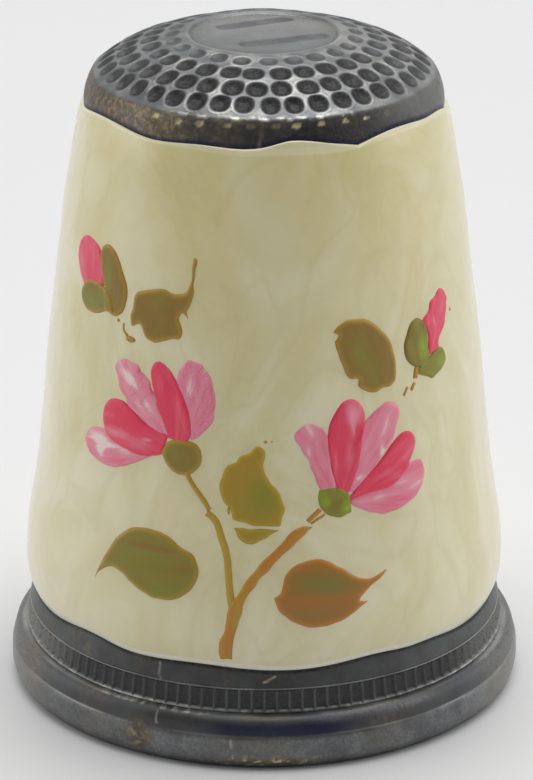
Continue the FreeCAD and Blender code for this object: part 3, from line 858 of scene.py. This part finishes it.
def paint(name, node, slot, material, *strokes):
    """A piece of one or more strokes, as a closed film that follows the sleeve."""
    points, faces, brushes, edges, tones = [], [], [], [], []
    total = 0
    for stroke in strokes:
        flat_points, height, depth, brush, triangles = stroke.mesh()
        laid.append(stroke)
        count = len(flat_points)
        angle = flat_points[:, 0] / UNROLL_RADIUS
        skin = sleeve_radius(angle, flat_points[:, 1])
        for radius in (skin + height, skin - FILM_KEY):
            points.append(on_axis(angle, radius, flat_points[:, 1]))
        sides = {(face[i - 1], face[i]) for face in triangles for i in range(3)}
        for face in triangles:
            faces.append([total + corner for corner in face])
            faces.append([total + count + corner for corner in reversed(face)])
        for start, end in sorted(sides):
            if (end, start) not in sides:
                faces.append([total + start, total + count + start, total + count + end, total + end])
        brushes += [brush] * 2
        edges += [np.clip(depth / EDGE_BAND, 0, 1)] * 2
        tones += [stroke.shade(flat_points)] * 2
        total += 2 * count
    traits = {"brush": brushes, "edge": edges, "tone": tones}
    traits = {key: np.concatenate(values) for key, values in traits.items()}
    finished(build(name, np.concatenate(points), faces, material, traits), node)


def ribbon(centre, width, tone):
    """A stroke of even width along a centre line, with blunt ends."""
    middle = spline(centre, max(4, 2 * len(centre)))
    along = np.gradient(middle, axis=0)
    along /= norm(along, axis=1)[:, None]
    side = np.column_stack([-along[:, 1], along[:, 0]]) * width / 2
    left = (middle + side).tolist()
    right = (middle - side).tolist()[::-1]
    return Stroke([left, right[:1], right[1:]], centre[0], tone, ragged=0.006)


def fleck(s, z, half_width, half_height, tone=0.3):
    """A small oval touch of the brush."""
    turn = np.radians(np.arange(0, 360, 45))
    ring = np.column_stack([s + half_width * np.cos(turn), z + half_height * np.sin(turn)]).tolist()
    return Stroke([ring + ring[:1]], (s, z - 1), tone)


# Each stroke is its outline, then its root, tone, touches and raggedness.

LEFT_BASE = (-3.35, 12.4)   # where the petals of each flower meet
RIGHT_BASE = (2.85, 10.45)
DARK = 0.12
LIGHT = 0.85
CRAZED_PETALS = (("left", 2), ("left", 3))      # where the paint has crackled

left_petals = [
    Stroke([[(-4.2, 12.15), (-4.8, 11.8), (-5.5, 11.42), (-6.3, 11.15), (-7, 11.2), (-7.55, 11.4),
      (-7.85, 11.85), (-7.7, 12.25), (-7.2, 12.5), (-6.4, 12.6), (-5.2, 12.5)]],
      LEFT_BASE, LIGHT, [(-7, 12.1, 0.6, 0.2, 0.7), (-6.85, 11.7, 0.2, 0.4, 0.55),
      (-7.45, 11.6, 0.3, 0.25, -0.35), (-6.1, 11.6, 0.5, 0.22, -0.3), (-5.6, 11.98, 0.6, 0.14, 0.6)]),
    Stroke([[(-3.75, 12.9), (-4.5, 13.08), (-5.2, 13.45), (-5.8, 13.95), (-6.2, 14.6), (-6.42, 15.05),
      (-6.15, 15.4), (-5.75, 15.52), (-5.2, 15.32), (-4.6, 14.7), (-4.2, 14), (-3.7, 13.1)]],
      LEFT_BASE, LIGHT, [(-5.6, 14.75, 0.35, 0.35, 0.4), (-4.8, 13.9, 0.45, 0.35, 0.45),
      (-5.2, 15.15, 0.25, 0.25, -0.45), (-4.55, 14.5, 0.2, 0.25, -0.4)], 0.045),
    Stroke([[(-2.8, 12.9), (-2.45, 13.1), (-2.15, 13.45), (-1.94, 14), (-1.92, 14.6), (-2.1, 15.3),
      (-2.5, 15.82), (-2.95, 15.95), (-3.35, 15.6), (-3.5, 15.1), (-3.4, 14.3), (-3.1, 13.3)]],
      LEFT_BASE, 0.75, [(-2.95, 14.9, 0.25, 0.6, 0.45), (-2.5, 15.3, 0.25, 0.35, -0.3),
      (-2.3, 13.5, 0.3, 0.3, -0.1)], 0.035),
    Stroke([[(-3.75, 12.95), (-4.4, 13.1), (-5, 13.35), (-5.6, 13.75), (-6.1, 13.88), (-6.6, 13.75),
      (-6.88, 13.35), (-6.88, 12.8), (-6.6, 12.4), (-6, 12.15), (-5.2, 11.98), (-4.5, 12), (-4, 12.15)]],
      LEFT_BASE, DARK, [(-6.1, 12.55, 1, 0.3, 0.45), (-4.9, 12.3, 0.6, 0.25, 0.35),
      (-5.7, 13.1, 0.8, 0.25, -0.2), (-4.64, 12.62, 0.2, 0.04, 1.3)]),
    Stroke([[(-3.75, 12.85), (-3.85, 13.15), (-4.15, 13.8), (-4.45, 14.5), (-4.66, 15.2), (-4.45, 15.68),
      (-4, 15.6), (-3.6, 15.2), (-3.2, 14.6), (-2.95, 14), (-2.82, 13.4), (-2.85, 13), (-3.1, 12.7)]],
      LEFT_BASE, DARK, [(-3.3, 13.9, 0.25, 0.9, 0.16), (-4.2, 14.9, 0.2, 0.6, 0.12),
      (-3.32, 15.05, 0.12, 0.08, 1)]),
]
right_petals = [
    Stroke([[(2.75, 10.95), (2.1, 11.05), (1.92, 11.5), (1.7, 12.1), (1.36, 12.75), (1.18, 13.15),
      (1.35, 13.45), (1.8, 13.6), (2.2, 13.42), (2.5, 13), (2.65, 12)]],
      RIGHT_BASE, 0.72, [(1.7, 12.5, 0.1, 0.4, 0.5), (1.9, 13.2, 0.3, 0.2, 0.15),
      (2.2, 11.6, 0.25, 0.4, -0.1)], 0.03),
    Stroke([[(3.2, 10.8), (3.4, 11.8), (3.7, 12.9), (4.1, 13.5), (4.6, 13.88), (5.1, 14.02), (5.5, 13.8),
      (5.55, 13.3), (5.35, 12.8), (5.1, 12.4), (4.7, 11.95), (4.2, 11.4), (3.5, 10.75)]],
      RIGHT_BASE, 0.72, [(4.7, 12.15, 0.14, 0.35, 0.9), (3.95, 12.4, 0.14, 0.5, 0.4),
      (3.7, 11.3, 0.3, 0.15, 0.6)], 0.025),
    Stroke([[(3.25, 10.5), (4.4, 10.95), (5.4, 11.35), (6.05, 11.42), (6.45, 11.42), (6.65, 11.2),
      (6.62, 10.6), (6.3, 10.15), (5.8, 9.87), (5.2, 9.7), (4.6, 9.7), (4.05, 9.88), (3.6, 10.1),
      (3.3, 10.35)]],
      RIGHT_BASE, 0.68, [(5.6, 10.75, 0.6, 0.16, 0.5), (4.4, 10.4, 0.6, 0.12, 0.5),
      (5.2, 10.1, 0.7, 0.16, -0.22)], 0.025),
    Stroke([[(2.8, 10.9), (2.62, 11.6), (2.5, 12.2), (2.44, 12.9), (2.55, 13.5), (2.85, 14.05), (3.4, 14.4),
      (3.85, 14.12), (4.02, 13.6), (3.9, 13), (3.75, 12.2), (3.55, 11.5), (3.2, 10.7)]],
      RIGHT_BASE, DARK, [(3.55, 13.8, 0.32, 0.42, 0.7), (3.35, 12.2, 0.22, 0.7, 0.28),
      (2.75, 12, 0.05, 0.8, 0.4), (3.5, 13.2, 0.06, 0.3, 0.5)]),
    Stroke([[(3.2, 10.55), (3.9, 11.2), (4.4, 11.6), (4.9, 12.1), (5.4, 12.55), (5.85, 12.7), (6.2, 12.5),
      (6.3, 12.15), (6.1, 11.7), (5.85, 11.3), (5.5, 11), (5, 10.72), (4.4, 10.65), (3.8, 10.6),
      (3.3, 10.45)]],
      RIGHT_BASE, 0.16, [(5.1, 11.2, 0.7, 0.2, 0.25), (5.7, 12.2, 0.3, 0.25, 0.1),
      (4.3, 11.3, 0.3, 0.1, -0.1)]),
]
for side, petals in (("left", left_petals), ("right", right_petals)):
    for number, petal in enumerate(petals, 1):
        enamelled = PINK if petal.tone > 0.5 else ROSE
        if (side, number) in CRAZED_PETALS:
            enamelled = CRAZED
        paint(f"{side}_flower_petal_{number}", f"{side}_flower_petals", "rose_enamel", enamelled, petal)

paint("left_calyx", "left_flower_calyx", "olive_enamel", OLIVE,
      Stroke([[(-4.02, 12.2), (-3.75, 11.75), (-3.2, 11.48), (-2.65, 11.65), (-2.38, 12.2), (-2.55, 12.7),
        (-3.1, 12.84), (-3.75, 12.7), (-4.02, 12.2)]],
        (-2.9, 11), 0.45, [(-3.5, 12.35, 0.35, 0.3, 0.3)]))
paint("right_calyx", "right_flower_calyx", "lime_enamel", LIME,
      Stroke([[(2.06, 10.98), (2.6, 11.05), (3.1, 10.85), (3.3, 10.4), (3.28, 10.02)], [(2.75, 9.88),
        (2.3, 10.05), (2.08, 10.5), (2.06, 10.98)]],
        (2.2, 9.6), 0.5, [(2.35, 10.5, 0.2, 0.2, 0.9), (3.1, 10.2, 0.18, 0.18, 0.9),
        (2.7, 10.35, 0.3, 0.3, -0.6), (2.2, 10.9, 0.15, 0.12, 0.5)], 0.04))
paint("left_bud", "left_bud_petal", "rose_enamel", ROSE,
      Stroke([[(-8.84, 17.7), (-9.24, 18.05), (-9.54, 18.6), (-9.56, 19.05), (-9.34, 19.4), (-8.84, 19.6),
        (-8.34, 19.55), (-7.84, 19.3), (-7.6, 18.9), (-7.4, 18.4), (-7.44, 18)]],
        (-8.04, 17.2), 0.26, [(-9.14, 18.6, 0.3, 0.4, 0.12)]))
paint("left_bud_sepal", "left_bud_sepals", "olive_enamel", OLIVE,
      Stroke([[(-7.38, 17.9), (-7.53, 18.4), (-7.73, 19), (-7.76, 19.35), (-7.38, 19.62), (-6.88, 19.45),
        (-6.58, 19.1), (-6.28, 18.6), (-6.08, 18.2), (-6.08, 17.75), (-6.28, 17.25), (-6.58, 17.02),
        (-7.18, 17.1)]],
        (-6.58, 16.2), 0.25, [(-7.2, 18.4, 0.28, 0.7, 0.8)]),
      Stroke([[(-8.87, 17.72), (-9.02, 17.4), (-8.82, 17), (-8.22, 16.8), (-7.67, 16.88), (-7.22, 17.05),
        (-6.72, 17.1)], [(-6.92, 17.6), (-7.32, 17.92), (-7.92, 18.06), (-8.52, 18), (-8.87, 17.72)]],
        (-6.32, 17), 0.75, [(-8.22, 17.2, 0.5, 0.25, 0.45), (-7.82, 17.85, 0.6, 0.12, -0.5)]),
      fleck(-6.45, 16.88, 0.08, 0.07))
paint("right_bud", "right_bud_petal", "rose_enamel", ROSE,
      Stroke([[(7.1, 16.65), (7.4, 16.85), (7.62, 17), (7.75, 17.25), (8.1, 17.42), (8.3, 17.58),
        (8.62, 17.6), (8.98, 17.25)], [(8.85, 16.9), (8.72, 16.4), (8.5, 16.05), (8.2, 15.82), (8.1, 15.4)],
        [(7.6, 15.3), (7.3, 15.2)], [(7.45, 15.8), (7.35, 16.35), (7.1, 16.65)]],
        (7.3, 14.9), 0.2, [(8.5, 16.9, 0.25, 0.5, 0.12), (7.85, 16.5, 0.05, 0.25, 0.5)], 0.03),
      fleck(9.2, 16.6, 0.09, 0.1, tone=0.9))
paint("right_bud_sepal", "right_bud_sepals", "lime_enamel", LIME,
      Stroke([[(6.6, 15), (6.25, 15.25), (6.05, 15.65), (6.08, 16.1), (6.3, 16.5), (6.55, 16.8),
        (6.95, 16.85), (7.25, 16.6), (7.42, 16.15), (7.4, 15.6), (7.3, 15.1), (7, 14.95)]],
        (6.9, 14.4), -0.1, [(7.08, 15.7, 0.3, 0.6, 1.4), (6.7, 16.65, 0.3, 0.2, 0.4)]),
      Stroke([[(6.6, 14.72), (7, 14.6), (7.3, 14.42), (7.9, 14.48), (8.3, 14.65), (8.52, 14.95),
        (8.4, 15.18), (8.2, 15.35), (7.85, 15.4), (7.3, 15.15), (6.8, 15.1)]],
        (6.6, 14.9), 0.4, [(8.1, 14.9, 0.3, 0.25, 0.6), (7.4, 14.55, 0.3, 0.15, 0.3)], 0.035))
paint("right_bud_stalk", "right_bud_sepals", "lime_enamel", OCHRE,
      ribbon([(6.62, 15), (6.55, 14.8), (6.5, 14.6)], 0.24, tone=0.3),
      ribbon([(6.45, 14.45), (6.35, 14.35), (6.25, 14.2)], 0.15, tone=0.4),
      ribbon([(6.08, 14.38), (5.95, 14.22), (5.85, 14.08)], 0.12, tone=0.4))
paint("left_stem", "flower_stems", "ochre_enamel", OCHRE,
      ribbon([(-3, 11.6), (-2.6, 11), (-2.25, 10.55), (-2.05, 10.22)], 0.2, tone=0.9),
      ribbon([(-2.15, 10.12), (-1.9, 9.95), (-1.6, 9.3), (-1.38, 8.6), (-1.28, 7.8), (-1.2, 7),
        (-1.12, 6.4)], 0.26, tone=0.9))
paint("right_stem", "flower_stems", "ochre_enamel", OCHRE,
      Stroke([[(-1.55, 4.35), (-1.58, 5.05), (-1.4, 5.5), (-1.3, 6.3), (-0.98, 7), (-0.6, 7.6),
        (-0.1, 8.25), (0.5, 8.85), (1, 9.4), (1.3, 9.58), (1.85, 9.62)], [(1.35, 9.2), (0.9, 8.75),
        (0.35, 8.2), (-0.2, 7.55), (-0.62, 6.9), (-0.88, 6), (-1.05, 5.3), (-1.1, 4.35)]],
        (-1.3, 3.4), 0.35, [(-0.95, 5.6, 0.16, 1.1, 0.5), (-1.15, 5.5, 0.12, 0.2, -0.9),
        (0.9, 9.1, 0.4, 0.2, -0.15)], 0.025),
      ribbon([(1.62, 9.8), (1.85, 10.02), (2, 10.14), (2.1, 10.24)], 0.18, tone=0.2),
      ribbon([(1.75, 9.72), (2, 9.86), (2.27, 10.02)], 0.1, tone=0.5))
paint("leaf_upper_left", "upper_left_leaf", "olive_enamel", OLIVE,
      Stroke([[(-5.82, 17.2), (-5.75, 17.6), (-5.65, 18.05), (-5.3, 18.25), (-4.9, 18.4), (-4.5, 18.48),
        (-3.9, 18.4), (-3.5, 18.42), (-3.2, 18.55), (-3.08, 18.9), (-3.03, 19.4), (-3, 19.8)],
        [(-2.93, 19.8), (-2.91, 19.2), (-2.9, 18.6), (-3, 18.2), (-3.15, 17.8)], [(-3.15, 17.5),
        (-3.3, 17.68), (-3.5, 17.6), (-3.52, 17.35), (-3.36, 17.1), (-3.45, 16.7), (-3.9, 16.6),
        (-4.4, 16.42), (-4.85, 16.42), (-5.1, 16.75)], [(-5.45, 16.95), (-5.7, 16.82), (-5.82, 17.2)]],
        (-2.9, 19.2), 0.3, [(-4.4, 18.1, 0.5, 0.25, 0.4), (-4.2, 17.3, 0.5, 0.3, 0.15)], 0.035),
      ribbon([(-6.15, 16.85), (-6.12, 16.55), (-5.9, 16.4)], 0.1, tone=0.3),
      fleck(-5.75, 16.3, 0.25, 0.12, tone=0.3))
paint("leaf_upper_right", "upper_right_leaf", "olive_enamel", OLIVE,
      Stroke([[(2.82, 17.02), (3, 17.22), (3.5, 17.4), (4.1, 17.36), (4.6, 17.15), (5, 16.8), (5.32, 16.4),
        (5.5, 15.9), (5.57, 15.4), (5.48, 14.75)], [(5.3, 14.6), (4.95, 14.62), (4.6, 14.5), (4.1, 14.6),
        (3.78, 14.88)], [(3.82, 15.05), (3.5, 15.15), (3.2, 15.6), (3, 16.2), (2.85, 16.65)],
        [(3.02, 16.85), (2.82, 17.02)]],
        (5.4, 14), 0.3, [(3.9, 16, 0.35, 0.7, 0.5), (4.4, 15.3, 0.3, 0.6, 0.4)], 0.02))
paint("leaf_centre", "centre_leaf", "olive_enamel", GOLD,
      Stroke([[(-1.15, 9.95), (-1.2, 10.25)], [(-1.5, 10.6), (-1.66, 11), (-1.62, 11.5), (-1.35, 12),
        (-1.05, 12.15)], [(-0.85, 12.42), (-0.5, 12.55), (-0.3, 12.78), (-0.02, 12.7), (0, 12.2),
        (0.08, 11.65), (0.38, 11.25), (0.65, 10.8), (0.76, 10.35), (0.66, 9.95), (0.58, 9.72)],
        [(0.2, 9.68), (-0.4, 9.72), (-1.15, 9.95)]],
        (-0.8, 8.4), 0.25, [(0, 10.8, 0.5, 0.8, 0.7), (-1.35, 11.2, 0.25, 0.8, -0.4)], 0.03),
      Stroke([[(-1.12, 9.62), (-0.95, 9.25), (-0.7, 9.04), (-0.4, 9.02), (0, 9.2), (0.55, 9.52)],
        [(0.1, 9.58), (-0.5, 9.58), (-1.12, 9.62)]],
        (-0.8, 8.4), 0.25, ragged=0.02), fleck(0.05, 12.98, 0.08, 0.06, tone=0.2),
      fleck(-1.32, 10.25, 0.05, 0.16, tone=0.2), fleck(0.3, 13, 0.05, 0.04, tone=0.2))
paint("leaf_lower_left", "lower_left_leaf", "olive_enamel", OLIVE,
      Stroke([[(-6.66, 6.62), (-6.4, 7.4), (-6.08, 8.05), (-5.7, 8.6), (-5.2, 9), (-4.6, 9.14), (-4, 9.1),
        (-3.5, 8.93), (-3, 8.6), (-2.62, 8.42), (-2.46, 8.1), (-2.38, 7.7), (-2.5, 7.3), (-2.8, 6.9),
        (-3.2, 6.63), (-3.7, 6.5), (-4.3, 6.58), (-4.9, 6.85), (-5.4, 7.15), (-5.9, 7.28), (-6.25, 7.15),
        (-6.66, 6.62)]],
        (-8, 7), 0.8, [(-4.7, 8.2, 0.9, 0.25, 0.2), (-3.7, 6.8, 0.6, 0.25, 0.3),
        (-4.3, 8.45, 1.2, 0.12, -0.8), (-3, 7.9, 0.5, 0.3, -0.4)], 0.015))
paint("leaf_lower_right", "lower_right_leaf", "olive_enamel", AUTUMN,
      Stroke([[(0.36, 6.95), (0.62, 7.15), (0.7, 7.6), (1, 8.02), (1.5, 8.27), (2, 8.3), (2.5, 8.1),
        (3, 7.75), (3.5, 7.42), (3.95, 7.3), (4.3, 7.42), (4.64, 7.54)], [(4.3, 7.22), (4, 7.08),
        (3.7, 6.8), (3.48, 6.5), (3.75, 6.46)], [(3.45, 6.22), (3.1, 6), (2.6, 5.76), (2, 5.67),
        (1.4, 5.75), (0.9, 6.03), (0.5, 6.45), (0.36, 6.95)]],
        (5.4, 7), 0.1, [(1.75, 7.4, 0.9, 0.48, 1), (2.75, 7.15, 0.85, 0.4, 0.9), (1.8, 6.2, 1.1, 0.34, 0.5),
        (1.6, 6.85, 1.3, 0.14, -0.6)], 0.02))


# ---- stage, light, camera

floor = build("floor", on_axis(np.radians(np.arange(0, 360, 10)), 900.0, 0.0), [list(range(36))[::-1]],
              Look("floor_paper").done(srgb(227, 227, 228), 0.6))

# The world is brighter behind the thimble than in front of it.
world = bpy.data.worlds.new("studio")
scene.world = world
world.use_nodes = True
sky = world.node_tree.nodes
direction = sky.new("ShaderNodeTexCoord")
split = sky.new("ShaderNodeSeparateXYZ")
ramp = sky.new("ShaderNodeMapRange")
for socket, value in (("From Min", -0.9), ("From Max", 0.9), ("To Min", 0.13), ("To Max", 0.80)):
    ramp.inputs[socket].default_value = value
sky["Background"].inputs["Color"].default_value = (1.0, 1.0, 1.0, 1.0)
for start, end in ((direction.outputs["Generated"], split.inputs[0]), (split.outputs["Y"], ramp.inputs[0]),
                   (ramp.outputs[0], sky["Background"].inputs["Strength"])):
    world.node_tree.links.new(start, end)


def softbox(name, place, size, power, aim=(0.0, 0.0, 0.013)):
    light = bpy.data.lights.new(name, "AREA")
    light.size = size
    light.energy = power
    lamp = bpy.data.objects.new(name, light)
    lamp.location = place
    lamp.rotation_euler = (Vector(aim) - Vector(place)).to_track_quat("-Z", "Y").to_euler()
    scene.collection.objects.link(lamp)


softbox("top_box", (0.03, 0.05, 0.42), 0.38, 1.1)
softbox("left_box", (-0.36, 0.0, 0.16), 0.26, 0.27)
softbox("right_box", (0.36, 0.02, 0.16), 0.26, 0.31)

CAMERA_PLACE = (0.00009, -0.144963, 0.068555)
CAMERA_TILT = 68.585        # degrees up from looking straight down
LENS = 181.6                # focal length in millimetres, on a sensor 36 mm wide

camera_data = bpy.data.cameras.new("camera")
camera_data.lens = LENS
camera_data.sensor_width = 36.0
camera_data.clip_start = 0.01
camera = bpy.data.objects.new("camera", camera_data)
camera.location = CAMERA_PLACE
camera.rotation_euler = (math.radians(CAMERA_TILT), 0.0, 0.0)
scene.collection.objects.link(camera)
scene.camera = camera
scene.view_settings.view_transform = "Standard"
